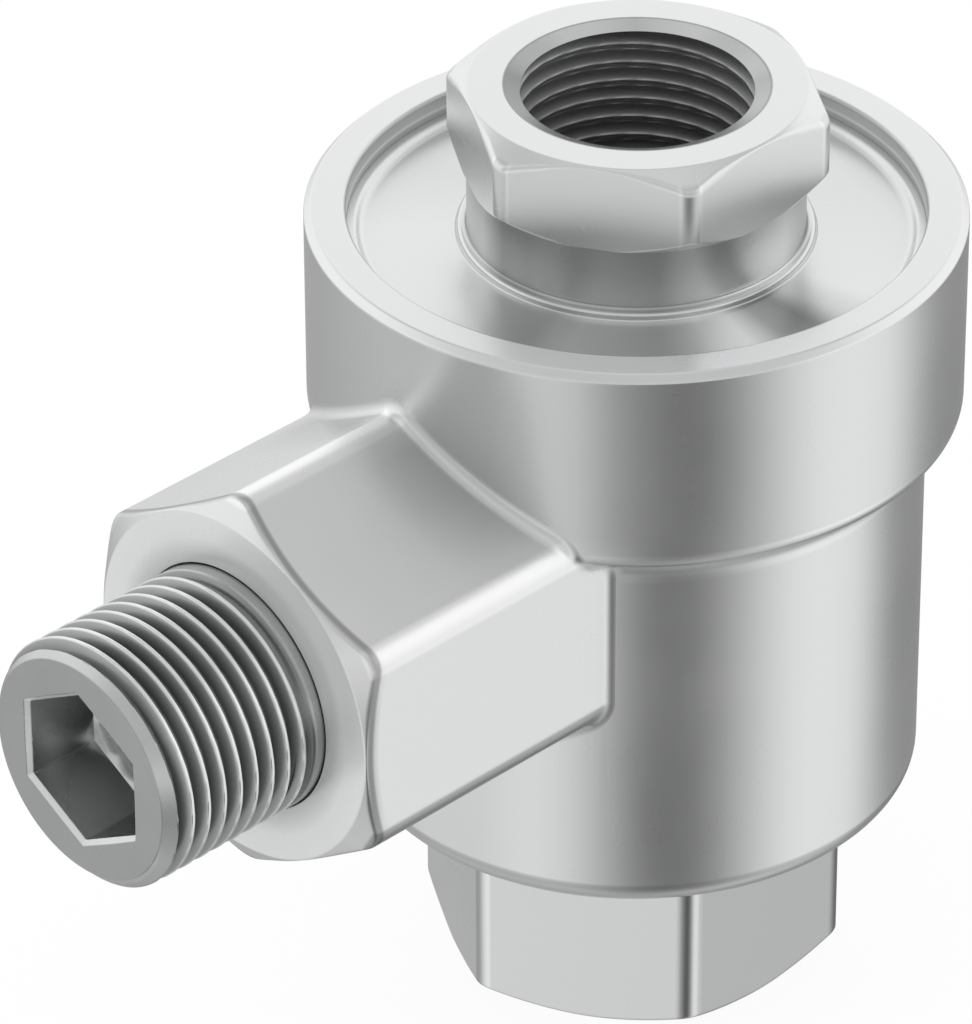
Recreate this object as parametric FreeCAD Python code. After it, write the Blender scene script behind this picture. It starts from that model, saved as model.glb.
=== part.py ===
# Quick exhaust valve with a screw-in inlet cover and a threaded outlet nipple.
# Sizes in mm. The origin is the centre of the exhaust mouth on the bottom face,
# +Z points up along the main axis and the outlet branch points along -X.
import FreeCAD
import Part
import math
import os

V = FreeCAD.Vector

# Pipe thread of all three ports
thread_major_r = 8.331
thread_pitch_r = 7.903
thread_minor_r = 7.475
inlet_chamfer = 0.95
exhaust_chamfer = 0.45

# Heights on the main axis, counted up from the bottom face
base_height = 13.7
barrel_height = 27.65
ring_height = 14.55
floor_depth = 1.9
neck_height = 4.7
cap_hex_height = 5.9
branch_axis_z = 35.8

# Outer radii and hexagons of the casting
barrel_r = 18.95
ring_r = 21.3
ring_bore_r = 18.57
ring_step_bevel = 1.3
ring_edge_bevel = 0.85
ring_top_chamfer = 0.45
barrel_edge_bevel = 1.25
base_hex_af = 25.0
base_hex_corner = 1.3
branch_hex_af = 24.0
branch_hex_corner = 2.0
branch_face_x = 36.0
branch_blend = 0.6
branch_chamfer_deg = 30.0

# Chamber, exhaust tube and outlet passage inside the casting
chamber_r = 15.5
chamber_floor_z = 21.5
tube_r = 9.6
tube_bore_r = 6.6
seat_below_shoulder = 8.3
exhaust_thread_depth = 14.0
passage_r = 5.8
nipple_engagement = 11.5

# Inlet cover
cover_clearance = 0.07
disc_thickness = 3.4
cap_hex_af = 22.0
cap_hex_corner = 1.25
neck_r = 10.95
neck_bead_width = 0.6
neck_bead_height = 0.5
inlet_thread_depth = 12.3
inlet_bore_r = 6.6
nozzle_r = 9.0

# Flat gasket between cover and casting
gasket_thickness = 1.0
gasket_clearance = 0.1

# Sealing cup
cup_thickness = 3.4
cup_travel = 2.5
cup_lip_clearance = 0.08
cup_lip_drop = 1.5
cup_seat_r = 13.6

# Outlet nipple
nipple_fit = 0.02
nipple_reach = 12.9
nipple_end_chamfer = 0.85
socket_af = 9.4
socket_depth = 5.4
socket_rim = 0.3
nipple_bore_r = 4.3

# Derived heights
barrel_top_z = base_height + barrel_height
ring_top_z = barrel_top_z + ring_height
floor_z = ring_top_z - floor_depth
cap_hex_z = floor_z + neck_height
top_z = cap_hex_z + cap_hex_height
shoulder_z = floor_z - disc_thickness - gasket_thickness
exhaust_seat_z = shoulder_z - seat_below_shoulder
inlet_seat_z = exhaust_seat_z + cup_thickness + cup_travel
cover_r = ring_bore_r - cover_clearance
branch_bore_r = thread_pitch_r + nipple_fit
nipple_inner_x = branch_face_x - nipple_engagement
nipple_tip_x = branch_face_x + nipple_reach


def lathe(points):
    """Solid of revolution about Z from (radius, height) points."""
    wire = Part.makePolygon([V(r, 0, z) for r, z in points + points[:1]])
    return Part.Face(wire).revolve(V(0, 0, 0), V(0, 0, 1), 360)


def rod(radius, z0, z1):
    """Cylinder about Z between two heights."""
    return Part.makeCylinder(radius, z1 - z0, V(0, 0, z0))


def to_branch(shape):
    """Turn a shape made along +Z so that it points along -X at the branch axis."""
    turned = shape.copy()
    turned.rotate(V(0, 0, 0), V(0, 1, 0), -90)
    turned.translate(V(0, 0, branch_axis_z))
    return turned


def hexagon(across_flats, z0, z1, corner=0.0):
    """Hexagonal prism about Z with two corners on the X axis."""
    radius = across_flats / math.sqrt(3.0)
    angles = [math.radians(60 * i) for i in range(7)]
    wire = Part.makePolygon([V(radius * math.cos(a), radius * math.sin(a), z0) for a in angles])
    prism = Part.Face(wire).extrude(V(0, 0, z1 - z0))
    if corner > 0:
        along = [e for e in prism.Edges if abs(e.tangentAt(e.FirstParameter).z) > 0.99]
        prism = prism.makeFillet(corner, along)
    return prism


def bevel_limit(face_r, slope_deg, z_face, z_far, far_r):
    """Cone-ended cylinder that bevels the corners of a hexagon at its end face."""
    direction = 1 if z_face > z_far else -1
    z_rim = z_face - direction * (far_r - face_r) * math.tan(math.radians(slope_deg))
    return lathe([(0, z_far), (far_r, z_far), (far_r, z_rim), (face_r, z_face), (0, z_face)])


def threaded_port(depth, chamfer, z_face, direction):
    """Cutter for a tapped port at its core diameter with a bevelled mouth."""
    z_in = z_face - direction * depth
    z_out = z_face + direction * 1.0
    mouth_r = thread_minor_r + chamfer
    return lathe([
        (0, z_in),
        (thread_minor_r, z_in),
        (thread_minor_r, z_face - direction * chamfer),
        (mouth_r, z_face),
        (mouth_r, z_out),
        (0, z_out),
    ])


def branch_joint(body):
    """Edges where the branch leaves the plain walls of the barrel and of the ring."""
    found = []
    for edge in body.Edges:
        middle = edge.valueAt((edge.FirstParameter + edge.LastParameter) / 2)
        low = min(vertex.Z for vertex in edge.Vertexes)
        high = max(vertex.Z for vertex in edge.Vertexes)
        on_barrel = abs(math.hypot(middle.x, middle.y) - barrel_r) < 0.01 and high < barrel_top_z
        on_ring = abs(math.hypot(middle.x, middle.y) - ring_r) < 0.01 and low > barrel_top_z
        inside_branch = abs(middle.y) < branch_hex_af / 2 + 0.01
        along_wall = abs(middle.z - branch_axis_z) < branch_hex_af / math.sqrt(3.0)
        if middle.x < 0 and inside_branch and along_wall and (on_barrel or on_ring):
            if high - low > 0.05 or abs(middle.y) < 2 * branch_hex_corner:
                found.append(edge)
    return found


def make_casting_outside():
    """Barrel with its ring, the bottom hexagon and the branch hexagon."""
    barrel = lathe([
        (0, base_height),
        (barrel_r - barrel_edge_bevel, base_height),
        (barrel_r, base_height + barrel_edge_bevel),
        (barrel_r, barrel_top_z - ring_step_bevel),
        (barrel_r + ring_step_bevel, barrel_top_z),
        (ring_r - ring_edge_bevel, barrel_top_z),
        (ring_r, barrel_top_z + ring_edge_bevel),
        (ring_r, ring_top_z - ring_top_chamfer),
        (ring_r - ring_top_chamfer, ring_top_z),
        (0, ring_top_z),
    ])

    branch = hexagon(branch_hex_af, 0, branch_face_x, branch_hex_corner)
    branch_bevel = bevel_limit(branch_hex_af / 2 - 0.1, branch_chamfer_deg, branch_face_x, 0, branch_hex_af)
    branch = to_branch(branch.common(branch_bevel))
    body = barrel.fuse(branch).removeSplitter()
    body = body.makeFillet(branch_blend, branch_joint(body))
    base = hexagon(base_hex_af, 0, base_height + 1.0, base_hex_corner)
    base = base.common(bevel_limit(base_hex_af / 2 - 0.2, 30, 0, base_height + 1.0, base_hex_af))
    return body.fuse(base).removeSplitter()


def make_body():
    """Casting with its chamber, exhaust tube, ports and cover bore."""
    body = make_casting_outside()
    chamber = rod(chamber_r, chamber_floor_z, shoulder_z + 0.5)
    tube = lathe([
        (0, chamber_floor_z - 1.0),
        (tube_r, chamber_floor_z - 1.0),
        (tube_r, exhaust_seat_z),
        (0, exhaust_seat_z),
    ])
    cover_bore = rod(ring_bore_r, shoulder_z, ring_top_z + 1.0)
    exhaust = rod(tube_bore_r, exhaust_thread_depth - 1.0, exhaust_seat_z + 1.0)
    thread = threaded_port(exhaust_thread_depth, exhaust_chamfer, 0, -1)
    passage = to_branch(rod(passage_r, tube_r + 1.5, branch_face_x))
    socket = to_branch(rod(branch_bore_r, nipple_inner_x, branch_face_x + 1.0))
    body = body.cut(chamber.cut(tube))
    body = body.cut(cover_bore)
    body = body.cut(exhaust.fuse(thread))
    return body.cut(passage.fuse(socket))


def make_cover():
    """Inlet cover: disc in the ring, neck and hexagon with the inlet thread."""
    disc_z = shoulder_z + gasket_thickness
    disc = lathe([
        (0, inlet_seat_z),
        (nozzle_r, inlet_seat_z),
        (nozzle_r, disc_z),
        (cover_r, disc_z),
        (cover_r, floor_z),
        (neck_r + neck_bead_width, floor_z),
        (neck_r, floor_z + neck_bead_height),
        (neck_r, cap_hex_z + 0.5),
        (0, cap_hex_z + 0.5),
    ])
    cap = hexagon(cap_hex_af, cap_hex_z, top_z, cap_hex_corner)
    cap = cap.common(bevel_limit(cap_hex_af / 2 - 0.15, 30, top_z, cap_hex_z, cap_hex_af))
    cap = cap.common(bevel_limit(cap_hex_af / 2 + 0.1, 40, cap_hex_z, top_z, cap_hex_af))
    cover = disc.fuse(cap).removeSplitter()
    bore = rod(inlet_bore_r, inlet_seat_z - 1.0, top_z)
    port = threaded_port(inlet_thread_depth, inlet_chamfer, top_z, 1)
    return cover.cut(bore.fuse(port))


def make_gasket():
    """Flat ring between the shoulder of the casting and the cover."""
    z1 = shoulder_z + gasket_thickness
    return rod(cover_r - gasket_clearance, shoulder_z, z1).cut(rod(chamber_r + gasket_clearance, shoulder_z, z1))


def make_cup():
    """Flexible sealing cup that closes the exhaust or the inlet seat."""
    z0 = exhaust_seat_z
    z1 = exhaust_seat_z + cup_thickness
    lip_r = chamber_r - cup_lip_clearance
    lip_z = z0 - cup_lip_drop
    return lathe([
        (0, z0),
        (cup_seat_r, z0),
        (cup_seat_r, lip_z),
        (lip_r, lip_z),
        (lip_r, z1),
        (0, z1),
    ])


def make_nipple():
    """Outlet nipple with a key socket at its outer end."""
    length = nipple_tip_x - nipple_inner_x
    stem = lathe([
        (0, 0),
        (thread_pitch_r, 0),
        (thread_pitch_r, nipple_engagement),
        (thread_major_r, nipple_engagement),
        (thread_major_r, length - nipple_end_chamfer),
        (thread_major_r - nipple_end_chamfer, length),
        (0, length),
    ])
    bore = rod(nipple_bore_r, -1.0, length)
    key = hexagon(socket_af, length - socket_depth, length + 1.0)
    key_corner_r = socket_af / math.sqrt(3.0)
    rim = Part.makeCone(key_corner_r - socket_rim, key_corner_r + socket_rim, 2 * socket_rim,
                        V(0, 0, length - socket_rim))
    stem = stem.cut(bore).cut(key).cut(rim.common(hexagon(socket_af + 2 * socket_rim, 0, length + 1)))
    stem.translate(V(0, 0, nipple_inner_x))
    return to_branch(stem)


parts = {
    "valve_body": make_body(),
    "inlet_cover": make_cover(),
    "cover_gasket": make_gasket(),
    "sealing_cup": make_cup(),
    "outlet_nipple": make_nipple(),
}
os.makedirs("parts", exist_ok=True)
for name, shape in parts.items():
    box = shape.BoundBox
    mesh_size = len(shape.tessellate(0.1)[1])
    print(name, "valid", shape.isValid(), "solids", len(shape.Solids), "volume %.1f" % shape.Volume,
          "z %.2f to %.2f" % (box.ZMin, box.ZMax), "triangles", mesh_size)
    shape.exportStep("parts/" + name + ".step")
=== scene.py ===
import bpy
import bmesh
import math
import numpy as np
from mathutils import Matrix, Vector


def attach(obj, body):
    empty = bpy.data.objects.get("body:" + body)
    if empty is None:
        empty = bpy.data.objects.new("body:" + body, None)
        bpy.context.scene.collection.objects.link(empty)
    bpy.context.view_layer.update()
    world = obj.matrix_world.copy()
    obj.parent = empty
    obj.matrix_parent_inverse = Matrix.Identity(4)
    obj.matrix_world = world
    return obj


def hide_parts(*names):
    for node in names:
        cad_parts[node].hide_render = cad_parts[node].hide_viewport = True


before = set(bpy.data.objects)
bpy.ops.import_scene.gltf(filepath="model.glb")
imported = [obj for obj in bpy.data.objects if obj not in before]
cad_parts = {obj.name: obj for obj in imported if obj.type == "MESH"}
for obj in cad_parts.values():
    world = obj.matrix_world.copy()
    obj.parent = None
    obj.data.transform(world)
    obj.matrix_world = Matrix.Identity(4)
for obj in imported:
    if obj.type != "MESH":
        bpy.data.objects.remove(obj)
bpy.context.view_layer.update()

mm = 0.001  # every size below is written in millimetres
branchHeight = 35.8  # level of the branch axis above the bottom face
cameraSide = 225.34  # direction from the main axis to the camera, in degrees
sharpAngle = 30  # edges that turn by more degrees than this stay sharp

# the pipe thread of all three ports
pipeThread = {"Major Radius": 8.331, "Minor Radius": 7.475, "Pitch": 1.337, "Softness": 0.12}
tapForm = {**pipeThread, "Mouth Slope": -1.0, "Plain Length": -2.0, "Run Out": 0.5, "Tapped": 1.0}
tapCore = 7.4  # plain bore that a tap is cut into, a little inside the core of its thread
tapReach = 8.34  # radius that holds every face of a tapped thread


def hexOutline(acrossFlats, cornerRadius, flatSteps, cornerSteps):
    # points of a hexagon with rounded corners, two of them on the local X axis, as (angle, radius)
    flat = acrossFlats / 2
    reach = (flat - cornerRadius) / math.cos(math.radians(30))
    spots = []
    for k in range(6):
        middle = math.radians(60 * k)
        centre = np.array([math.cos(middle), math.sin(middle)]) * reach
        for i in range(cornerSteps + 1):
            turn = middle + math.radians(-30 + 60 * i / cornerSteps)
            spots.append(centre + cornerRadius * np.array([math.cos(turn), math.sin(turn)]))
        following = math.radians(60 * (k + 1))
        start = spots[-1]
        turn = following - math.radians(30)
        end = np.array([math.cos(following), math.sin(following)]) * reach
        end = end + cornerRadius * np.array([math.cos(turn), math.sin(turn)])
        # the first and last point lie close to the corners, so that a flat stays flat
        shares = [0.006] + [i / flatSteps for i in range(1, flatSteps)] + [0.994]
        spots += [start + (end - start) * s for s in shares]
    return [(math.atan2(p[1], p[0]), float(np.hypot(p[0], p[1]))) for p in spots]


def roundOutline(steps):
    return [(2 * math.pi * i / steps, 1.0) for i in range(steps)]


def softLoop(corners, hold=0.018):
    # rounds each (radius, height, rounding, steps) corner, with a point held close to it on the straight runs
    points = []
    count = len(corners)
    for i, (r, z, size, steps) in enumerate(corners):
        here = np.array([r, z])
        if size <= 0:
            points.append(here)
            continue
        before = np.array(corners[i - 1][:2]) - here
        after = np.array(corners[(i + 1) % count][:2]) - here
        longBefore, longAfter = np.linalg.norm(before), np.linalg.norm(after)
        a, b = before / max(longBefore, 1e-9), after / max(longAfter, 1e-9)
        turn = math.pi - math.acos(max(-1.0, min(1.0, float(a @ b))))
        if turn < 1e-3:
            points += [here] * (steps + 3)
            continue
        cut = min(size * math.tan(turn / 2), 0.45 * longBefore, 0.45 * longAfter)
        real = cut / math.tan(turn / 2)
        inward = (a + b) / np.linalg.norm(a + b)
        middle = here + inward * real / math.cos(turn / 2)
        first, last = here + a * cut - middle, here + b * cut - middle
        points.append(here + a * (cut + min(hold, 0.04 * longBefore)))
        for k in range(steps + 1):
            t = k / steps
            swung = math.sin((1 - t) * turn) * first + math.sin(t * turn) * last
            points.append(middle + swung / math.sin(turn))
        points.append(here + b * (cut + min(hold, 0.04 * longAfter)))
    return points


def upAxis(p):
    return p


def alongBranch(p):
    # local +Z becomes -X at the branch axis
    return (-p[2], p[1], p[0] + branchHeight)


def newObject(name, data):
    made = bpy.data.objects.new(name, data)
    bpy.context.scene.collection.objects.link(made)
    return made


def skinRings(name, rings, closed, place=upAxis):
    # a solid skinned over rings of points, either closed on itself or capped at both ends
    work = bmesh.new()
    grid = [[work.verts.new(Vector(place(p)) * mm) for p in ring] for ring in rings]
    across = len(rings[0])
    pairs = list(zip(grid, grid[1:])) + ([(grid[-1], grid[0])] if closed else [])
    for low, high in pairs:
        for i in range(across):
            j = (i + 1) % across
            work.faces.new((low[i], low[j], high[j], high[i]))
    if not closed:
        work.faces.new(list(reversed(grid[0])))
        work.faces.new(grid[-1])
    bmesh.ops.remove_doubles(work, verts=work.verts, dist=1e-7)
    bmesh.ops.dissolve_degenerate(work, dist=1e-8, edges=work.edges)
    bmesh.ops.recalc_face_normals(work, faces=work.faces)
    mesh = bpy.data.meshes.new(name)
    work.to_mesh(mesh)
    work.free()
    return newObject(name, mesh)


def ringsOf(outline, columns):
    # rings of points from one column of (radius, level) for each direction of the outline
    return [[(column[row][0] * math.cos(angle), column[row][0] * math.sin(angle), column[row][1])
             for (angle, reach), column in zip(outline, columns)] for row in range(len(columns[0]))]


def turnedSolid(name, outline, profileAt, closed=True):
    # one profile for each direction of the outline, so that flats and round parts share their columns
    return skinRings(name, ringsOf(outline, [profileAt(reach) for angle, reach in outline]), closed)


def roundRod(name, rows, steps):
    # a plain turned shape along the branch axis from its (radius, reach) rows
    outline = roundOutline(steps)
    return skinRings(name, ringsOf(outline, [rows] * steps), False, alongBranch)


def plainMesh(piece):
    # bakes the modifiers into the mesh
    graph = bpy.context.evaluated_depsgraph_get()
    mesh = bpy.data.meshes.new_from_object(piece.evaluated_get(graph))
    piece.modifiers.clear()
    old = piece.data
    piece.data = mesh
    bpy.data.meshes.remove(old)
    mesh.name = piece.name


def combine(piece, tool, operation):
    step = piece.modifiers.new("combine", "BOOLEAN")
    step.operation = operation
    step.solver = "EXACT"
    step.object = tool
    plainMesh(piece)
    bpy.data.objects.remove(tool)


def paintFaces(piece, material, test):
    # gives the faces whose centre passes the test, in millimetres, another finish
    piece.data.materials.append(material)
    index = len(piece.data.materials) - 1
    for polygon in piece.data.polygons:
        x, y, z = polygon.center / mm
        if test(x, y, z):
            polygon.material_index = index


def finishPiece(piece, material, body, node):
    mesh = piece.data
    work = bmesh.new()
    work.from_mesh(mesh)
    bmesh.ops.remove_doubles(work, verts=work.verts, dist=2e-7)
    bmesh.ops.dissolve_degenerate(work, dist=1e-7, edges=work.edges)
    work.to_mesh(mesh)
    work.free()
    mesh.materials.clear()
    mesh.materials.append(material)
    mesh.polygons.foreach_set("material_index", [0] * len(mesh.polygons))
    mesh.polygons.foreach_set("use_smooth", [True] * len(mesh.polygons))
    mesh.set_sharp_from_angle(angle=math.radians(sharpAngle))
    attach(piece, body)
    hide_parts(node)
    print("made", piece.name, "with", len(mesh.polygons), "faces")


def mathNode(tree, operation, *values):
    node = tree.nodes.new("ShaderNodeMath")
    node.operation = operation
    for i, value in enumerate(values):
        if isinstance(value, bpy.types.NodeSocket):
            tree.links.new(value, node.inputs[i])
        else:
            node.inputs[i].default_value = value
    return node.outputs[0]


def makeThreadTree():
    tree = bpy.data.node_groups.new("threadForm", "GeometryNodeTree")
    face = tree.interface
    face.new_socket("Geometry", in_out="OUTPUT", socket_type="NodeSocketGeometry")
    face.new_socket("Geometry", in_out="INPUT", socket_type="NodeSocketGeometry")
    for name in ("Major Radius", "Minor Radius", "Pitch", "Length", "Softness", "Mouth Radius",
                 "Mouth Level", "Mouth Slope", "Plain Length", "Run Out", "Tapped"):
        face.new_socket(name, in_out="INPUT", socket_type="NodeSocketFloat")
    for name in ("Columns", "Rows"):
        face.new_socket(name, in_out="INPUT", socket_type="NodeSocketInt")
    face.new_socket("Material", in_out="INPUT", socket_type="NodeSocketMaterial")
    given = tree.nodes.new("NodeGroupInput").outputs
    rod = tree.nodes.new("GeometryNodeMeshCylinder")
    rod.fill_type = "NGON"
    tree.links.new(given["Columns"], rod.inputs["Vertices"])
    tree.links.new(given["Rows"], rod.inputs["Side Segments"])
    tree.links.new(given["Major Radius"], rod.inputs["Radius"])
    tree.links.new(given["Length"], rod.inputs["Depth"])
    split = tree.nodes.new("ShaderNodeSeparateXYZ")
    tree.links.new(tree.nodes.new("GeometryNodeInputPosition").outputs[0], split.inputs[0])
    angle = mathNode(tree, "ARCTAN2", split.outputs[1], split.outputs[0])
    level = mathNode(tree, "ADD", split.outputs[2], mathNode(tree, "MULTIPLY", given["Length"], 0.5))
    pitch = given["Pitch"]
    turns = mathNode(tree, "SUBTRACT", mathNode(tree, "DIVIDE", level, pitch),
                     mathNode(tree, "DIVIDE", angle, 2 * math.pi))
    away = mathNode(tree, "ABSOLUTE", mathNode(tree, "SUBTRACT", mathNode(tree, "FRACT", turns), 0.5))
    sharp = mathNode(tree, "MULTIPLY", pitch, 0.960491)  # height of the sharp 55 degree form
    flank = mathNode(tree, "SUBTRACT", mathNode(tree, "MULTIPLY", sharp, 0.5),
                     mathNode(tree, "MULTIPLY", mathNode(tree, "MULTIPLY", sharp, 2.0), away))
    half = mathNode(tree, "MULTIPLY", mathNode(tree, "SUBTRACT", given["Major Radius"],
                                               given["Minor Radius"]), 0.5)
    crest = mathNode(tree, "SMOOTH_MIN", flank, half, given["Softness"])
    wave = mathNode(tree, "SMOOTH_MAX", crest, mathNode(tree, "MULTIPLY", half, -1.0), given["Softness"])
    depth = mathNode(tree, "SUBTRACT", half, wave)
    fade = tree.nodes.new("ShaderNodeMapRange")
    fade.interpolation_type = "SMOOTHSTEP"
    tree.links.new(level, fade.inputs["Value"])
    tree.links.new(given["Plain Length"], fade.inputs["From Min"])
    tree.links.new(mathNode(tree, "ADD", given["Plain Length"], given["Run Out"]), fade.inputs["From Max"])
    thread = mathNode(tree, "SUBTRACT", given["Major Radius"],
                      mathNode(tree, "MULTIPLY", depth, fade.outputs[0]))
    cone = mathNode(tree, "ADD", given["Mouth Radius"], mathNode(
        tree, "MULTIPLY", mathNode(tree, "SUBTRACT", given["Mouth Level"], level), given["Mouth Slope"]))
    male = mathNode(tree, "MINIMUM", thread, cone)
    tapped = mathNode(tree, "MAXIMUM", thread, cone)
    radius = mathNode(tree, "ADD", male, mathNode(
        tree, "MULTIPLY", mathNode(tree, "SUBTRACT", tapped, male), given["Tapped"]))
    spot = tree.nodes.new("ShaderNodeCombineXYZ")
    tree.links.new(mathNode(tree, "MULTIPLY", radius, mathNode(tree, "COSINE", angle)), spot.inputs[0])
    tree.links.new(mathNode(tree, "MULTIPLY", radius, mathNode(tree, "SINE", angle)), spot.inputs[1])
    tree.links.new(level, spot.inputs[2])
    place = tree.nodes.new("GeometryNodeSetPosition")
    tree.links.new(rod.outputs["Mesh"], place.inputs["Geometry"])
    tree.links.new(spot.outputs[0], place.inputs["Position"])
    real = tree.nodes.new("GeometryNodeRealizeInstances")
    tree.links.new(place.outputs[0], real.inputs[0])
    paint = tree.nodes.new("GeometryNodeSetMaterial")
    tree.links.new(real.outputs[0], paint.inputs["Geometry"])
    tree.links.new(given["Material"], paint.inputs["Material"])
    result = tree.nodes.new("NodeGroupOutput")
    tree.links.new(paint.outputs[0], result.inputs[0])
    return tree


threadTree = makeThreadTree()
print("thread node tree ready")


def threadedRod(name, sizes, material, place, start):
    # runs the tree in millimetres, then puts the rod in its place in the mesh
    piece = newObject(name, bpy.data.meshes.new(name))
    step = piece.modifiers.new("thread", "NODES")
    step.node_group = threadTree
    for item in threadTree.interface.items_tree:
        if item.item_type == "SOCKET" and item.in_out == "INPUT" and item.name != "Geometry":
            step[item.identifier] = material if item.name == "Material" else sizes[item.name]
    plainMesh(piece)
    for vertex in piece.data.vertices:
        x, y, z = vertex.co
        vertex.co = Vector(place((x, y, z + start))) * mm
    work = bmesh.new()
    work.from_mesh(piece.data)
    bmesh.ops.recalc_face_normals(work, faces=work.faces)
    work.to_mesh(piece.data)
    work.free()
    return piece


def nodeGroup(name, numbers, results):
    group = bpy.data.node_groups.new(name, "ShaderNodeTree")
    for label, value in numbers.items():
        given = group.interface.new_socket(label, in_out="INPUT", socket_type="NodeSocketFloat")
        given.default_value = value
    for label in results:
        group.interface.new_socket(label, in_out="OUTPUT", socket_type="NodeSocketFloat")
    return group, group.nodes.new("NodeGroupInput").outputs, group.nodes.new("NodeGroupOutput").inputs


def noiseNode(tree, vector, scale, detail):
    node = tree.nodes.new("ShaderNodeTexNoise")
    tree.links.new(vector, node.inputs["Vector"])
    tree.links.new(scale, node.inputs["Scale"])
    node.inputs["Detail"].default_value = detail
    node.inputs["Roughness"].default_value = 0.55
    return node.outputs["Fac"]


def makeGrainGroup():
    # fine even grain of a blasted and plated surface, with broad soft clouds over it
    scales = {"Grain Scale": 3200.0, "Cloud Scale": 90.0}
    group, given, result = nodeGroup("metalGrain", scales, ("Grain", "Clouds"))
    spot = group.nodes.new("ShaderNodeTexCoord").outputs["Object"]
    group.links.new(noiseNode(group, spot, given["Grain Scale"], 2.0), result["Grain"])
    group.links.new(noiseNode(group, spot, given["Cloud Scale"], 4.0), result["Clouds"])
    return group


def lengthNode(tree, a, b):
    return mathNode(tree, "SQRT", mathNode(tree, "ADD", mathNode(tree, "MULTIPLY", a, a),
                                           mathNode(tree, "MULTIPLY", b, b)))


def makeTurningGroup():
    # faint rings left by the lathe around the main axis, from the radius and the height
    group, given, result = nodeGroup("turningMarks", {"Ring Scale": 2600.0}, ("Marks",))
    split = group.nodes.new("ShaderNodeSeparateXYZ")
    group.links.new(group.nodes.new("ShaderNodeTexCoord").outputs["Object"], split.inputs[0])
    joined = group.nodes.new("ShaderNodeCombineXYZ")
    group.links.new(lengthNode(group, split.outputs[0], split.outputs[1]), joined.inputs[0])
    group.links.new(split.outputs[2], joined.inputs[2])
    group.links.new(noiseNode(group, joined.outputs[0], given["Ring Scale"], 3.0), result["Marks"])
    return group


def makeAxisGroup():
    # distances in millimetres from the main axis, or from the branch axis at Branch 1
    group, given, result = nodeGroup("axisDistance", {"Branch": 0.0}, (
        "Radius", "Level", "Reach", "Side", "Offset", "Across", "Along"))
    split = group.nodes.new("ShaderNodeSeparateXYZ")
    group.links.new(group.nodes.new("ShaderNodeTexCoord").outputs["Object"], split.inputs[0])
    x, y, z = split.outputs[0], split.outputs[1], split.outputs[2]
    lifted = mathNode(group, "SUBTRACT", z, branchHeight * mm)
    side = mathNode(group, "ADD",
                    mathNode(group, "MULTIPLY", x, mathNode(group, "SUBTRACT", 1.0, given["Branch"])),
                    mathNode(group, "MULTIPLY", lifted, given["Branch"]))
    radius = lengthNode(group, side, y)
    angle = mathNode(group, "ARCTAN2", y, side)
    # the direction from the camera's side, between -180 and 180 degrees
    turned = mathNode(group, "ADD", mathNode(group, "MULTIPLY", angle, 180 / math.pi), 540 - cameraSide)
    wrapped = mathNode(group, "FLOORED_MODULO", turned, 360.0)
    group.links.new(mathNode(group, "SUBTRACT", wrapped, 180.0), result["Side"])
    # a hexagon's nearest corner: how far off its line, and how far out along it
    corner = mathNode(group, "SUBTRACT", mathNode(
        group, "FLOORED_MODULO", mathNode(group, "ADD", angle, math.pi / 6), math.pi / 3), math.pi / 6)
    off = mathNode(group, "MULTIPLY", radius, mathNode(group, "SINE", corner))
    out = mathNode(group, "MULTIPLY", radius, mathNode(group, "COSINE", corner))
    for label, value, way in (("Radius", radius, 1), ("Level", z, 1), ("Reach", x, -1), ("Across", off, 1),
                              ("Along", out, 1), ("Offset", mathNode(group, "ABSOLUTE", off), 1)):
        group.links.new(mathNode(group, "MULTIPLY", value, way / mm), result[label])
    return group


grainGroup = makeGrainGroup()
turningGroup = makeTurningGroup()
axisGroup = makeAxisGroup()


def groupNode(tree, group, **values):
    node = tree.nodes.new("ShaderNodeGroup")
    node.node_tree = group
    for label, value in values.items():
        node.inputs[label.replace("_", " ")].default_value = value
    return node.outputs


def rampNode(tree, value, stops):
    node = tree.nodes.new("ShaderNodeValToRGB")
    tree.links.new(value, node.inputs[0])
    ramp = node.color_ramp
    while len(ramp.elements) < len(stops):
        ramp.elements.new(0.5)
    for element, (position, colour) in zip(ramp.elements, stops):
        element.position = position
        element.color = (*colour, 1.0)
    return node.outputs["Color"]


def rangeNode(tree, value, low, high, start=0.3, end=0.7):
    node = tree.nodes.new("ShaderNodeMapRange")
    tree.links.new(value, node.inputs["Value"])
    node.inputs["From Min"].default_value = start
    node.inputs["From Max"].default_value = end
    node.inputs["To Min"].default_value = low
    node.inputs["To Max"].default_value = high
    return node.outputs[0]


def greyRamp(tree, value, stops):
    # grey between (value, grey) stops
    start, end = stops[0][0], stops[-1][0]
    share = rangeNode(tree, value, 0.0, 1.0, start, end)
    return rampNode(tree, share, [((stop - start) / (end - start), (grey,) * 3) for stop, grey in stops])


def timesNode(tree, colour, factor):
    node = tree.nodes.new("ShaderNodeMix")
    node.data_type = "RGBA"
    node.blend_type = "MULTIPLY"
    node.inputs["Factor"].default_value = 1.0
    tree.links.new(colour, node.inputs[6])
    tree.links.new(factor, node.inputs[7])
    return node.outputs[2]


def productOf(tree, values):
    joined = values[0]
    for value in values[1:]:
        joined = mathNode(tree, "MULTIPLY", joined, value)
    return joined


def lineAt(middle, half):
    # limits of a thin line, full over the middle third of its width
    return (middle - half, middle - 0.35 * half, middle + 0.35 * half, middle + half)


def limitMasks(tree, value, limits):
    # 0 at the first limit and 1 at the second, and where there are four, 0 again at the last
    if limits[0] > limits[1]:
        return [rangeNode(tree, value, 1.0, 0.0, limits[1], limits[0])]
    masks = [rangeNode(tree, value, 0.0, 1.0, limits[0], limits[1])]
    if len(limits) == 4:
        masks.append(rangeNode(tree, value, 1.0, 0.0, limits[2], limits[3]))
    return masks


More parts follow.
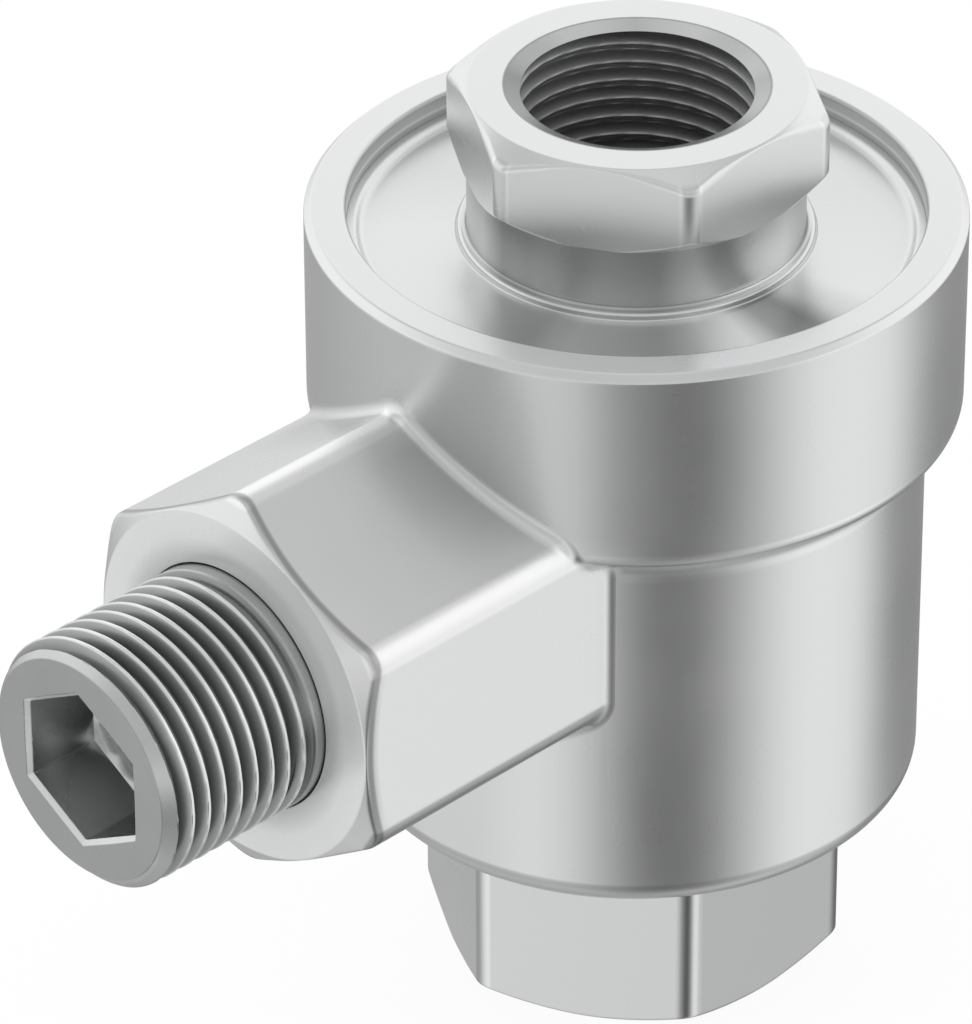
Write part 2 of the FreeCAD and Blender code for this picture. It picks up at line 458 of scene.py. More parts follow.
def shadeNode(tree, near, where, shade):
    # the shade where every named distance keeps its limits, and 1 elsewhere
    mask = productOf(tree, [one for label, limits in where.items()
                            for one in limitMasks(tree, near[label], limits)])
    if isinstance(shade, tuple):
        label, stops = shade
        factor = mathNode(tree, "SUBTRACT", greyRamp(tree, near[label], stops), 1.0)
    else:
        factor = shade - 1.0
    return mathNode(tree, "MULTIPLY_ADD", mask, factor, 1.0)


def distances(tree):
    # the distances from the main axis by name, and those from the branch axis with arm before the name
    found = {}
    for start, branch in (("", 0.0), ("arm", 1.0)):
        for socket in groupNode(tree, axisGroup, Branch=branch):
            found[start + socket.name] = socket
    return found


def metalFinish(name, look):
    material = bpy.data.materials.new(name)
    material.use_nodes = True
    tree = material.node_tree
    surface = tree.nodes["Principled BSDF"]
    surface.inputs["Metallic"].default_value = 1.0
    grain = groupNode(tree, grainGroup, Grain_Scale=look["grainScale"], Cloud_Scale=look["cloudScale"])
    turning = groupNode(tree, turningGroup, Ring_Scale=look["ringScale"])
    colour = rampNode(tree, grain["Clouds"], [(0.3, look["dark"]), (0.7, look["light"])])
    # painted shade and painted highlights: factors that darken or brighten the base colour by place
    if "shades" in look:
        near = look["near"](tree)
        paintedFactors = [shadeNode(tree, near, where, shade) for where, shade in look["shades"].values()]
        colour = timesNode(tree, colour, productOf(tree, paintedFactors))
    if "metal" in look:
        tree.links.new(shadeNode(tree, near, *look["metal"]), surface.inputs["Metallic"])
    tree.links.new(colour, surface.inputs["Base Color"])
    roughness = rangeNode(tree, grain["Clouds"], look["smooth"], look["rough"])
    tree.links.new(roughness, surface.inputs["Roughness"])
    height = mathNode(tree, "ADD", mathNode(tree, "MULTIPLY", grain["Grain"], look["grainShare"]),
                      mathNode(tree, "MULTIPLY", turning["Marks"], look["markShare"]))
    bump = tree.nodes.new("ShaderNodeBump")
    bump.inputs["Distance"].default_value = look["bump"] * mm
    bump.inputs["Strength"].default_value = 1.0
    tree.links.new(height, bump.inputs["Height"])
    tree.links.new(bump.outputs[0], surface.inputs["Normal"])
    return material


def softFinish(name, look):
    material = bpy.data.materials.new(name)
    material.use_nodes = True
    tree = material.node_tree
    surface = tree.nodes["Principled BSDF"]
    grain = groupNode(tree, grainGroup, Grain_Scale=look["grainScale"], Cloud_Scale=look["cloudScale"])
    tree.links.new(rampNode(tree, grain["Clouds"], [(0.3, look["dark"]), (0.7, look["light"])]),
                   surface.inputs["Base Color"])
    roughness = rangeNode(tree, grain["Grain"], look["smooth"], look["rough"])
    tree.links.new(roughness, surface.inputs["Roughness"])
    bump = tree.nodes.new("ShaderNodeBump")
    bump.inputs["Distance"].default_value = look["bump"] * mm
    tree.links.new(grain["Grain"], bump.inputs["Height"])
    tree.links.new(bump.outputs[0], surface.inputs["Normal"])
    return material


silver = {
    "dark": (0.83, 0.84, 0.845), "light": (0.87, 0.875, 0.875), "smooth": 0.25, "rough": 0.31,
    "grainScale": 3000.0, "cloudScale": 60.0, "ringScale": 1500.0, "grainShare": 0.6, "markShare": 0.6,
    "bump": 0.003,
}
# darker grey on the tapped threads inside the bores is painted shade in the holes; they are also rougher
tapPaintedShade = metalFinish("tapPaintedShade", {
    **silver, "dark": (0.42, 0.425, 0.425), "light": (0.50, 0.505, 0.505), "smooth": 0.42, "rough": 0.5,
})
cupRubber = softFinish("cupRubber", {
    "dark": (0.030, 0.031, 0.033), "light": (0.045, 0.046, 0.048), "smooth": 0.5, "rough": 0.68,
    "grainScale": 2500.0, "cloudScale": 200.0, "bump": 0.01,
})
gasketFibre = softFinish("gasketFibre", {
    "dark": (0.10, 0.085, 0.07), "light": (0.17, 0.15, 0.13), "smooth": 0.7, "rough": 0.85,
    "grainScale": 1800.0, "cloudScale": 500.0, "bump": 0.02,
})
print("plain finishes ready")


# the casting, sizes in mm as on the source part
casting = {
    "baseHexFlats": 25.0, "baseHexCorner": 1.3, "baseFaceRadius": 12.3, "baseBevelSlope": 30.0,
    "baseTop": 13.7, "barrelRadius": 18.95, "barrelEdge": 2.0,
    "stepTop": 42.63, "ringRadius": 21.3, "ringTop": 55.9, "ringFillet": 2.0, "ringEdge": 1.3,
    "ringTopBevel": 0.45, "ringBore": 18.57, "shoulder": 49.6,
    "chamberRadius": 15.5, "chamberFloor": 21.5, "tubeRadius": 9.6, "tubeTop": 41.3, "tubeBore": 6.6,
    "exhaustDepth": 14.0, "exhaustMouth": 8.5,
    "branchFlats": 24.0, "branchCorner": 2.0, "branchFace": 36.0, "branchFaceRadius": 11.9,
    "branchBevelSlope": 30.0, "branchRoot": 17.2, "branchBore": 7.923, "branchBoreEnd": 24.5,
    "branchMouth": 8.46, "passageRadius": 5.8, "weldRadius": 1.0,
}

# painted shade and painted highlights of the casting, laid on its colour as factors: the limits of each
# distance in mm or degrees, then the painted shade or light laid on there
baseCorner = {"Level": (13.9, 13.3), "Along": (13.5, 13.8)}
branchRidge = {"armReach": (14.5, 15.0), "armOffset": (1.1, 0.85), "armAlong": (13.0, 13.2, 13.6, 13.8)}
bevelEnd = {"armRadius": (11.93, 12.0)}
castPaintedLight = {
    # painted shade on the ring's recess wall, darkest towards its bottom
    "recessWall": ({"Radius": (18.78, 18.62), "Level": (53.0, 53.5)}, (
        "Level", [(54.46, 0.4), (54.748, 0.48), (54.94, 0.78), (55.132, 0.56), (55.74, 0.5)])),
    # painted reflection tone on the base flats of one side, and painted dark and light reflection lines at
    # the base corners
    "baseFlat": ({"Level": (13.9, 13.3), "Side": (15.0, 19.0, 73.0, 77.0)}, 0.64),
    "baseDarkLine": ({**baseCorner, "Across": lineAt(-0.34, 0.55)}, 0.6),
    "baseLightLine": ({**baseCorner, "Across": lineAt(0.42, 0.3)}, 1.14),
    # painted shade on the underside
    "foot": ({"Radius": (14.5, 14.4), "Level": (0.35, 0.0)}, 0.7),
    # painted highlight on the branch ridges; painted shade below them and along the end bevel
    "ridge": (branchRidge, 1.16),
    "ridgeBelow": ({**branchRidge, "Level": (34.5, 32.5)}, 0.5),
    "bevelLine": ({**bevelEnd, "armReach": (14.5, 15.0), "armDepth": lineAt(-0.34, 0.36)}, 0.5),
    "bevelOfFrontFlat": ({**bevelEnd, "armDepth": lineAt(-0.3, 0.8), "armSide": lineAt(44.7, 34.0)}, 0.72),
    # painted shade where the branch meets the ring
    "ringRoot": ({"Level": (42.5, 45.0), "armOffset": (0.9, 2.4), "Radius": (21.4, 22.0, 22.0, 27.5)}, 0.76),
    # painted shade and painted light lines on the step under the ring
    "ringStep": ({"offArm": (0.0, 1.0), "Radius": (18.9, 18.94, 21.31, 21.36), "Level": (38.8, 39.0)}, (
        "Level", [(39.08, 1.0), (39.4, 1.1), (39.72, 1.05), (40.08, 0.7), (40.44, 0.7), (40.68, 1.05),
                  (41.48, 0.6), (41.96, 0.68), (42.36, 1.0), (42.56, 1.14), (42.76, 1.0)])),
    # painted shade on the barrel's lower rounding
    "barrelLip": ({"Radius": (15.0, 15.5), "Level": (13.6, 13.65, 15.6, 15.85)}, (
        "Level", [(14.0, 0.8), (15.0, 0.84), (15.36, 0.66), (15.6, 0.74), (15.8, 1.0)])),
    # painted reflection tones on the ring above the branch, by direction
    "ringAboveBranch": ({"Level": (42.4, 44.0, 55.2, 55.5), "Radius": (21.0, 21.2, 21.32, 21.6)}, (
        "Side", [(-180, 1.0), (-100, 1.0), (-75, 0.86), (-58, 0.8), (-40, 0.74), (-27, 0.75), (-19, 0.85),
                 (-11, 0.92), (-4, 0.88), (2, 1.0), (180, 1.0)])),
    # painted shadow round the nipple on the branch's end face
    "nippleShadow": ({"armReach": (35.4, 35.8), "armRadius": (10.2, 8.4)}, 0.66),
}
# the machined end face of the branch is less like a mirror
dullFace = ({"armReach": (35.92, 35.98), "armRadius": (11.95, 11.8)}, 0.5)


def castDistances(tree):
    # also the way out of the branch's end bevel, and 1 outside the branch's hexagon or behind the main axis
    near = distances(tree)
    slope = math.tan(math.radians(casting["branchBevelSlope"]))
    bevel = mathNode(tree, "MULTIPLY_ADD", near["armRadius"], -slope,
                     casting["branchFace"] + casting["branchFaceRadius"] * slope)
    near["armDepth"] = mathNode(tree, "SUBTRACT", near["armReach"], bevel)
    flat = mathNode(tree, "ADD", mathNode(tree, "MULTIPLY", near["armAlong"], math.cos(math.radians(30))),
                    mathNode(tree, "MULTIPLY", near["armOffset"], math.sin(math.radians(30))))
    half = casting["branchFlats"] / 2
    near["offArm"] = mathNode(tree, "MAXIMUM", rangeNode(tree, flat, 0.0, 1.0, half + 0.4, half + 0.9),
                              rangeNode(tree, near["armReach"], 1.0, 0.0, 0.0, 1.0))
    return near


castMetal = metalFinish("castMetal", {
    **silver, "near": castDistances, "shades": castPaintedLight, "metal": dullFace,
})


def ringStep(steps):
    # the soft step from the barrel out to the ring, a hollow and a rounding that meet in one slope
    c = casting
    both = c["ringFillet"] + c["ringEdge"]
    turn = math.acos(1 - (c["ringRadius"] - c["barrelRadius"]) / both)
    low = c["stepTop"] - both * math.sin(turn)
    points = [(c["barrelRadius"], low - 0.03, 0, 0)]
    for k in range(steps + 1):
        a = turn * k / steps
        points.append((c["barrelRadius"] + c["ringFillet"] * (1 - math.cos(a)),
                       low + c["ringFillet"] * math.sin(a), 0, 0))
    for k in range(steps - 1, -1, -1):
        a = turn * k / steps
        points.append((c["ringRadius"] - c["ringEdge"] * (1 - math.cos(a)),
                       c["stepTop"] - c["ringEdge"] * math.sin(a), 0, 0))
    return points + [(c["ringRadius"], c["stepTop"] + 0.03, 0, 0)]


def castingProfile(reach):
    c = casting
    rise = (reach - c["baseFaceRadius"]) * math.tan(math.radians(c["baseBevelSlope"]))
    return softLoop([
        (tapCore, 0.0, 0, 0),
        (c["baseFaceRadius"], 0.0, 0.3, 3),
        (reach, rise, 0.35, 4),
        (reach, c["baseTop"], 0.35, 4),
        (c["barrelRadius"], c["baseTop"], c["barrelEdge"], 12),
        *ringStep(10),
        (c["ringRadius"], c["ringTop"] - c["ringTopBevel"], 0.2, 3),
        (c["ringRadius"] - c["ringTopBevel"], c["ringTop"], 0.2, 3),
        (c["ringBore"], c["ringTop"], 0.28, 4),
        (c["ringBore"], c["shoulder"], 0, 0),
        (c["chamberRadius"], c["shoulder"], 0, 0),
        (c["chamberRadius"], c["chamberFloor"], 0.8, 3),
        (c["tubeRadius"], c["chamberFloor"], 0.8, 3),
        (c["tubeRadius"], c["tubeTop"], 0.5, 3),
        (c["tubeBore"], c["tubeTop"], 0.5, 3),
        (c["tubeBore"], c["exhaustDepth"] + 0.2, 0, 0),
        (tapCore, c["exhaustDepth"] + 0.2, 0, 0),
    ])


def makeBranch():
    # hexagonal branch, its inner end curved so that it stays inside the barrel wall
    c = casting
    outline = hexOutline(c["branchFlats"], c["branchCorner"], 18, 8)
    rings = []
    for share in (0.04, 0.3, 0.55, 0.8):
        rings.append([(share * reach * math.cos(angle), share * reach * math.sin(angle),
                       math.sqrt(c["branchRoot"] ** 2 - (share * reach * math.sin(angle)) ** 2))
                      for angle, reach in outline])

    def side(reach, angle):
        root = math.sqrt(c["branchRoot"] ** 2 - (reach * math.sin(angle)) ** 2)
        rise = (reach - c["branchFaceRadius"]) * math.tan(math.radians(c["branchBevelSlope"]))
        return softLoop([
            (reach * 0.8, root, 0, 0),
            (reach, root, 0, 0),
            (reach, c["branchFace"] - rise, 0.55, 6),
            (c["branchFaceRadius"], c["branchFace"], 0.3, 4),
            (c["branchFaceRadius"] * 0.5, c["branchFace"], 0, 0),
        ])[1:-1]

    rings += ringsOf(outline, [side(reach, angle) for angle, reach in outline])
    return skinRings("branch", rings, False, alongBranch)


def makeBranchBore():
    c = casting
    return roundRod("branchBore", [
        (c["passageRadius"], 11.0), (c["passageRadius"], c["branchBoreEnd"]),
        (c["branchBore"], c["branchBoreEnd"]), (c["branchBore"], c["branchFace"] - 0.45),
        (c["branchMouth"], c["branchFace"] - 0.02), (c["branchMouth"], c["branchFace"] + 1.0),
    ], 128)


def hexDistance(y, z, flats, corner):
    # distance to a rounded hexagon with corners up and down, and the direction away from it
    half = flats / 2 - corner
    best, away = None, None
    p = np.array([y, z])
    reach = half / math.cos(math.radians(30))
    turns = [math.radians(60 * k) for k in range(6)]
    spots = [reach * np.array([math.sin(turn), math.cos(turn)]) for turn in turns]
    for k in range(6):
        a, b = spots[k], spots[(k + 1) % 6]
        t = max(0.0, min(1.0, float((p - a) @ (b - a) / ((b - a) @ (b - a)))))
        near = a + (b - a) * t
        gap = float(np.linalg.norm(p - near))
        if best is None or gap < best:
            best, away = gap, (p - near) / max(gap, 1e-9)
    return best - corner, away


def wallDistance(r, z, wall):
    # distance to the turned wall, given as points, and the direction away from it
    p = np.array([r, z])
    a, b = wall[:-1], wall[1:]
    run = b - a
    t = np.clip(np.sum((p - a) * run, axis=1) / np.sum(run * run, axis=1), 0, 1)
    near = a + run * t[:, None]
    gaps = np.linalg.norm(p - near, axis=1)
    k = int(np.argmin(gaps))
    return float(gaps[k]), (p - near[k]) / max(float(gaps[k]), 1e-9)


def makeBranchFillet():
    # a ball rolled along the corner between the branch and the turned wall leaves this fillet
    c = casting
    ball, stride = c["weldRadius"], 0.22
    sunk, buried = 0.003, 0.25  # how far its edges and its back lie inside the casting
    wall = np.array(softLoop([
        (14.0, c["baseTop"], 0, 0),
        (c["barrelRadius"], c["baseTop"], c["barrelEdge"], 12),
        *ringStep(30),
        (c["ringRadius"], c["ringTop"], 0, 0),
        (14.0, c["ringTop"], 0, 0),
    ])[:-1])

    def measure(p):
        hexGap, hexWay = hexDistance(p[1], p[2] - branchHeight, c["branchFlats"], c["branchCorner"])
        r = math.hypot(p[0], p[1])
        wallGap, wallWay = wallDistance(r, p[2], wall)
        return (np.array([hexGap - ball, wallGap - ball]), np.array([0.0, hexWay[0], hexWay[1]]),
                np.array([wallWay[0] * p[0] / r, wallWay[0] * p[1] / r, wallWay[1]]))

    def settle(p):
        for _ in range(12):
            gaps, hexWay, wallWay = measure(p)
            slopes = np.array([hexWay, wallWay])
            p = p - slopes.T @ np.linalg.solve(slopes @ slopes.T, gaps)
        return p

    # from the top ridge of the branch once round one side, and the other side by mirroring
    spot = settle(np.array([-22.3, 0.0, branchHeight + 13.8]))
    path = [spot]
    heading = np.array([0.0, 1.0, 0.0])
    for _ in range(2000):
        gaps, hexWay, wallWay = measure(spot)
        along = np.cross(hexWay, wallWay)
        along = along / np.linalg.norm(along)
        if along @ heading < 0:
            along = -along
        moved = settle(spot + along * stride)
        if moved[1] < 0 and len(path) > 20:
            break
        heading = moved - spot
        spot = moved
        path.append(spot)
    mirrored = [p * np.array([1.0, -1.0, 1.0]) for p in reversed(path[1:])]
    path = path + mirrored
    shares = [0.0, 0.015] + [k / 12 for k in range(1, 12)] + [0.985, 1.0]
    rings = []
    for p in path:
        gaps, hexWay, wallWay = measure(p)
        first, last = -hexWay, -wallWay
        turn = math.acos(max(-1.0, min(1.0, float(first @ last))))
        section = []
        for t in shares:
            way = (math.sin((1 - t) * turn) * first + math.sin(t * turn) * last) / math.sin(turn)
            sink = sunk if t in (0.0, 1.0) else 0.0
            section.append(p + way * (ball + sink))
        section.append(p + (first + last) * (ball + buried) / (1 + float(first @ last)))
        rings.append([tuple(q) for q in section])
    return skinRings("branchFillet", rings, True)


exhaustTap = {
    **tapForm, "Length": casting["exhaustDepth"] + 0.5, "Mouth Radius": casting["exhaustMouth"],
    "Mouth Level": casting["exhaustDepth"], "Columns": 96, "Rows": 180,
}


def makeCasting():
    outline = hexOutline(casting["baseHexFlats"], casting["baseHexCorner"], 36, 8)
    piece = turnedSolid("valveCasting", outline, castingProfile)
    combine(piece, makeBranch(), "UNION")
    combine(piece, makeBranchBore(), "DIFFERENCE")
    depth = casting["exhaustDepth"]
    tool = threadedRod("exhaustTap", exhaustTap, castMetal, lambda p: (p[0], -p[1], -p[2]), -depth)
    combine(piece, tool, "DIFFERENCE")
    fillet = makeBranchFillet()
    joined = bmesh.new()
    joined.from_mesh(piece.data)
    joined.from_mesh(fillet.data)
    joined.to_mesh(piece.data)
    joined.free()
    bpy.data.objects.remove(fillet)
    finishPiece(piece, castMetal, "housing", "valve_body")
    paintFaces(piece, tapPaintedShade, lambda x, y, z: math.hypot(x, y) < tapReach and 0.5 < z < depth + 0.1)


makeCasting()


# the screwed-in inlet cover
cover = {
    "hexFlats": 22.0, "hexCorner": 1.25, "hexBottom": 58.7, "top": 64.6, "faceRadius": 10.85,
    "faceSlope": 30.0, "underRadius": 11.1, "underSlope": 40.0, "neckRadius": 10.88, "floor": 54.0,
    "discRadius": 18.56, "discBottom": 50.6, "rimHeight": 0.4, "nozzleRadius": 9.0, "seat": 47.2,
    "bore": 6.6, "threadDepth": 12.3, "mouth": 8.47, "mouthDepth": 0.46, "beadRadius": 11.6,
    "beadHeight": 0.5,
}

# painted reflection streaks on the turned disc and painted shade on the neck, both by direction, painted
# reflection lines at the corners of the upper hexagon, and painted reflection tones and a painted dark line
# at the mouth
capCorner = {"Level": (58.9, 59.2), "Along": (11.9, 12.1)}
coverPaintedLight = {
    "disc": ({"Level": (54.7, 54.5), "Radius": (11.2, 11.8)}, (
        "Side", [(-180, 1.0), (-120, 0.92), (-90, 1.0), (-50, 1.0), (-40, 0.88), (-32, 0.76), (-27, 0.7),
                 (-17, 0.92), (-4, 0.9), (6, 0.88), (12, 0.95), (17, 1.1), (26, 1.1), (34, 0.5), (43, 0.36),
                 (50, 0.8), (60, 1.0), (110, 0.94), (140, 1.0), (180, 1.0)])),
    "neck": ({"Level": (54.05, 54.2, 58.65, 58.8), "Radius": (11.15, 10.95)}, (
        "Side", [(-180, 0.6), (-90, 0.6), (-64, 0.72), (-52, 0.4), (-40, 0.44), (-28, 0.66), (-8, 0.62),
                 (6, 0.54), (16, 0.68), (29, 0.86), (45, 0.92), (58, 0.92), (70, 0.6), (84, 0.4),
                 (120, 0.6), (180, 0.6)])),
    "cornerBand": ({**capCorner, "Offset": (0.62, 0.46)}, 0.9),
    "cornerLines": ({**capCorner, "Offset": lineAt(0.66, 0.16)}, 1.08),
    "mouth": ({"Level": (64.1, 64.12), "Radius": (8.5, 8.42)}, (
        "Side", [(-180, 0.74), (-160, 0.9), (-145, 0.96), (-125, 0.7), (-100, 0.36), (-75, 0.4), (-30, 0.6),
                 (30, 0.6), (75, 0.6), (95, 0.55), (125, 0.85), (150, 1.0), (180, 0.74)])),
    "mouthEdge": ({"Level": (64.5, 64.55), "Radius": lineAt(cover["mouth"] + 0.03, 0.1)}, 0.5),
}
coverMetal = metalFinish("coverMetal", {**silver, "near": distances, "shades": coverPaintedLight})


def coverProfile(reach):
    c = cover
    rim = min(c["underRadius"], reach - 0.03)
    under = c["hexBottom"] + (reach - rim) * math.tan(math.radians(c["underSlope"]))
    over = c["top"] - (reach - c["faceRadius"]) * math.tan(math.radians(c["faceSlope"]))
    return softLoop([
        (c["bore"], c["seat"], 0.3, 3),
        (c["nozzleRadius"], c["seat"], 0.4, 3),
        (c["nozzleRadius"], c["discBottom"], 0, 0),
        (c["discRadius"], c["discBottom"], 0, 0),
        (c["discRadius"], c["floor"] + c["rimHeight"], 0, 0),
        (c["discRadius"] - 0.55, c["floor"] + c["rimHeight"], 0.3, 5),
        (c["discRadius"] - 0.95, c["floor"], 0.6, 6),
        (c["beadRadius"], c["floor"], 0.12, 3),
        (c["beadRadius"] - 0.12, c["floor"] + c["beadHeight"], 0.22, 5),
        (c["neckRadius"], c["floor"] + c["beadHeight"] - 0.1, 0.25, 5),
        (c["neckRadius"], c["hexBottom"], 0.12, 3),
        (rim, c["hexBottom"], 0.12, 3),
        (reach, under, 0.3, 4),
        (reach, over, 0.7, 6),
        (c["faceRadius"], c["top"], 0.35, 4),
        (c["mouth"], c["top"], 0.08, 3),
        (tapCore + 0.02, c["top"] - c["mouthDepth"], 0, 0),
        (tapCore, c["top"] - c["mouthDepth"] - 0.02, 0, 0),
        (tapCore, c["top"] - c["threadDepth"] + 0.2, 0, 0),
        (c["bore"], c["top"] - c["threadDepth"] + 0.2, 0, 0),
    ])


inletTap = {
    **tapForm, "Length": cover["threadDepth"] - cover["mouthDepth"] + 0.02, "Mouth Radius": 0.0,
    "Mouth Level": cover["threadDepth"], "Columns": 128, "Rows": 220,
}


def makeCover():
    outline = hexOutline(cover["hexFlats"], cover["hexCorner"], 36, 8)
    piece = turnedSolid("inletCover", outline, coverProfile)
    tool = threadedRod("inletTap", inletTap, castMetal, upAxis, cover["top"] - cover["threadDepth"])
    combine(piece, tool, "DIFFERENCE")
    finishPiece(piece, coverMetal, "housing", "inlet_cover")
    mouthEnd = cover["top"] - cover["mouthDepth"]
    paintFaces(piece, tapPaintedShade, lambda x, y, z: math.hypot(x, y) < tapReach and 50.0 < z < mouthEnd)


makeCover()


# the threaded nipple in the branch
nipple = {
    "inner": 24.5, "shoulder": 36.0, "tip": 48.9, "stemRadius": 7.903, "socketFlats": 9.4, "socketDepth": 5.4,
    "socketRim": 0.34, "rimReach": 5.75, "socketCorner": 0.12, "boreRadius": 4.3, "faceRadius": 7.45,
}
nippleThread = {
    **pipeThread, "Length": nipple["tip"] - nipple["shoulder"], "Mouth Radius": nipple["faceRadius"],
    "Mouth Level": nipple["tip"] - nipple["shoulder"], "Mouth Slope": 1.04, "Plain Length": 0.45,
    "Run Out": 1.3, "Tapped": 0.0, "Columns": 176, "Rows": 300,
}

# painted highlights on the thread's crests and painted shade in its roots, painted shade at the run-out,
# painted light on the end bevel and inside the key socket, and a small bevel round the socket
rimStart = nipple["tip"] - nipple["socketRim"]
socketRim = {"armRadius": (5.95, 5.9), "armReach": (rimStart + 0.03, rimStart + 0.06, 48.86, 48.89)}
nipplePaintedLight = {
    "thread": ({"armRadius": (6.9, 7.0), "armReach": (48.12, 48.05)}, (
        "armRadius", [(7.41, 0.34), (7.96, 0.74), (8.224, 0.95), (8.323, 1.95)])),
    "runOut": ({"armReach": (37.6, 36.7)}, 0.62),
    "endBevel": ({"armReach": (48.1, 48.2), "armRadius": (7.46, 7.52)}, 1.4),
    "keySocket": ({"armRadius": (5.8, 5.75), "armReach": (48.88, 48.84)}, 1.6),
    "socketRim": (socketRim, 0.95),
}
nipplePlating = metalFinish("nipplePlating", {
    "dark": (0.43, 0.44, 0.435), "light": (0.49, 0.50, 0.495), "smooth": 0.24, "rough": 0.32,
    "grainScale": 4200.0, "cloudScale": 140.0, "ringScale": 1800.0, "grainShare": 1.0, "markShare": 0.0,
    "bump": 0.003, "near": distances, "shades": nipplePaintedLight, "metal": (socketRim, 0.4),
})


def makeSocketTool():
    n = nipple
    outline = hexOutline(n["socketFlats"], n["socketCorner"], 10, 3)
    end = n["tip"] - n["socketDepth"]
    rows = [("out", n["tip"] + 0.6), ("rim", n["tip"]), ("hex", n["tip"] - n["socketRim"]), ("hex", end),
            (n["socketFlats"] / 2 - 0.1, end - 0.15), (n["boreRadius"], end - 0.8),
            (n["boreRadius"], n["inner"] - 1.0)]
    rings = []
    for kind, z in rows:
        ring = []
        for angle, reach in outline:
            rim = min(reach + n["socketRim"], n["rimReach"])
            r = {"out": rim + 0.6, "rim": rim, "hex": reach}.get(kind, kind)
            ring.append((r * math.cos(angle), r * math.sin(angle), z))
        rings.append(ring)
    return skinRings("socketTool", rings, False, alongBranch)


def makeNipple():
    n = nipple
    piece = threadedRod("outletNipple", nippleThread, nipplePlating, alongBranch, n["shoulder"])
    stem = roundRod("stem", [(n["stemRadius"], n["inner"]), (n["stemRadius"], n["shoulder"] + 2.0)], 96)
    combine(piece, stem, "UNION")
    combine(piece, makeSocketTool(), "DIFFERENCE")
    finishPiece(piece, nipplePlating, "housing", "outlet_nipple")


makeNipple()


# the flat gasket and the moving cup, both hidden inside
seals = {
    "gasketInner": 15.6, "gasketOuter": 18.4, "gasketBottom": 49.6, "gasketTop": 50.6,
    "cupRadius": 15.42, "cupBottom": 41.3, "cupTop": 44.68, "lipBottom": 39.8, "lipInner": 13.6,
    "lipTop": 43.5, "cupTopRadius": 14.2,
}


def gasketProfile(reach):
    s = seals
    inner, outer, low, high = (s["gasket" + key] for key in ("Inner", "Outer", "Bottom", "Top"))
    return softLoop([(r, z, 0.15, 3) for r, z in ((inner, low), (outer, low), (outer, high), (inner, high))])


def cupProfile(reach):
    s = seals
    return softLoop([
        (0.6, s["cupBottom"], 0, 0), (s["lipInner"], s["cupBottom"], 0.5, 5),
        (s["lipInner"], s["lipBottom"], 0.3, 4), (s["cupRadius"], s["lipBottom"], 0.4, 4),
        (s["cupRadius"], s["lipTop"], 0.5, 5), (s["cupTopRadius"], s["cupTop"], 0.5, 5),
        (0.6, s["cupTop"], 0, 0),
    ])


gasket = turnedSolid("coverGasket", roundOutline(160), gasketProfile)
finishPiece(gasket, gasketFibre, "housing", "cover_gasket")
cup = turnedSolid("sealingCup", roundOutline(160), cupProfile, closed=False)
finishPiece(cup, cupRubber, "cup", "sealing_cup")


studio = {
    "floorSize": 3000.0, "floorColour": 0.95, "floorLift": 0.93, "worldStrength": 1.0, "cardLevel": 0.94,
}


def backgroundRays(tree):
    # camera, glossy and transmission rays see the white background itself
    rays = tree.nodes.new("ShaderNodeLightPath").outputs
    return mathNode(tree, "MAXIMUM", mathNode(tree, "MAXIMUM", rays["Is Camera Ray"], rays["Is Glossy Ray"]),
                    rays["Is Transmission Ray"])


def makeFloor():
    half = studio["floorSize"] / 2 * mm
    mesh = bpy.data.meshes.new("studioFloor")
    corners = [(-half, -half, 0), (half, -half, 0), (half, half, 0), (-half, half, 0)]
    mesh.from_pydata(corners, [], [(0, 1, 2, 3)])
    floor = newObject("studioFloor", mesh)
    material = bpy.data.materials.new("studioPaper")
    material.use_nodes = True
    tree = material.node_tree
    paper = tree.nodes["Principled BSDF"]
    shade = studio["floorColour"]
    paper.inputs["Base Color"].default_value = (shade, shade, shade, 1)
    paper.inputs["Roughness"].default_value = 0.9
    glow = tree.nodes.new("ShaderNodeEmission")
    glow.inputs["Strength"].default_value = 1.0
    blend = tree.nodes.new("ShaderNodeMixShader")
    tree.links.new(mathNode(tree, "MULTIPLY", backgroundRays(tree), studio["floorLift"]), blend.inputs[0])
    tree.links.new(paper.outputs[0], blend.inputs[1])
    tree.links.new(glow.outputs[0], blend.inputs[2])
    tree.links.new(blend.outputs[0], tree.nodes["Material Output"].inputs[0])
    mesh.materials.append(material)
    floor.visible_glossy = False  # reflections see the cards instead


def makeWorld():
    world = bpy.data.worlds.new("studioWorld")
    world.use_nodes = True
    light = world.node_tree.nodes["Background"]
    light.inputs["Color"].default_value = (1, 1, 1, 1)
    light.inputs["Strength"].default_value = studio["worldStrength"]
    bpy.context.scene.world = world


# grey of the lower card by direction from the camera's side, how much of it shows by the distance from the
# card's middle, and the plain grey that shows for the rest
ringShades = [(-180, 0.45), (-144, 0.48), (-118, 0.62), (-91, 0.78), (-65, 0.74), (-42, 0.92), (-25, 0.78),
              (-15, 0.55), (-6, 0.36), (3, 0.15), (12, 0.12), (22, 0.13), (32, 0.28), (41, 0.48), (50, 0.7),
              (66, 0.97), (90, 0.97), (100, 0.86), (110, 0.56), (118, 0.36), (128, 0.28), (160, 0.3),
              (180, 0.45)]
ringShare = [(0, 0.1), (160, 0.3), (450, 0.7), (900, 1.0), (1300, 1.0), (2600, 0.2), (9000, 0.0)]
ringPlain = [(0, 0.45), (450, 0.45), (1300, 0.85), (9000, 0.85)]
topShades = [(0, 0.70), (140, 0.70), (330, 0.56), (480, 0.56), (820, 1.0)]
frontShades = [(-180, 1.0), (-75, 1.0), (-55, 0.6), (45, 0.6), (62, 1.0), (180, 1.0)]


def between(stops, value):
    return float(np.interp(value, [a for a, b in stops], [b for a, b in stops]))


def lowerShade(side, radius):
    share = between(ringShare, radius)
    ring = between(ringShades, side) * studio["cardLevel"]
    return share * ring + (1 - share) * between(ringPlain, radius)


